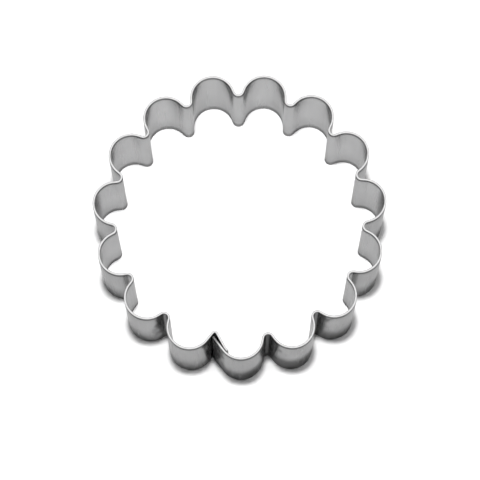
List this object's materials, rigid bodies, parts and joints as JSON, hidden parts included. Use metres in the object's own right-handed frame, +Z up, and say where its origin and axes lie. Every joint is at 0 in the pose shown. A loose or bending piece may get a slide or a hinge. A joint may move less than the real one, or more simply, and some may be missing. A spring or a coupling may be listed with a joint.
{
  "type": "biscuit cutter",
  "caption": "Round scalloped biscuit cutter: one thin metal strip bent into outward lobes, its ends lapped in a fold and spot-welded.",
  "frame": {"origin": "on the ring's axis, in the plane of the lower edge that it stands on", "axes": "+Z up along the ring's axis; -Y through the middle of the lobe beside the lapped seam"},
  "size_m": [0.0676, 0.0674, 0.025],
  "materials": {
    "band_metal": "satin, thin sheet with bright sheared edges",
    "weld_metal": "dull fused metal"
  },
  "bodies": {
    "root": {"scalloped_band": "band_metal", "upper_spot_weld": "weld_metal", "lower_spot_weld": "weld_metal"}
  },
  "joints": []
}
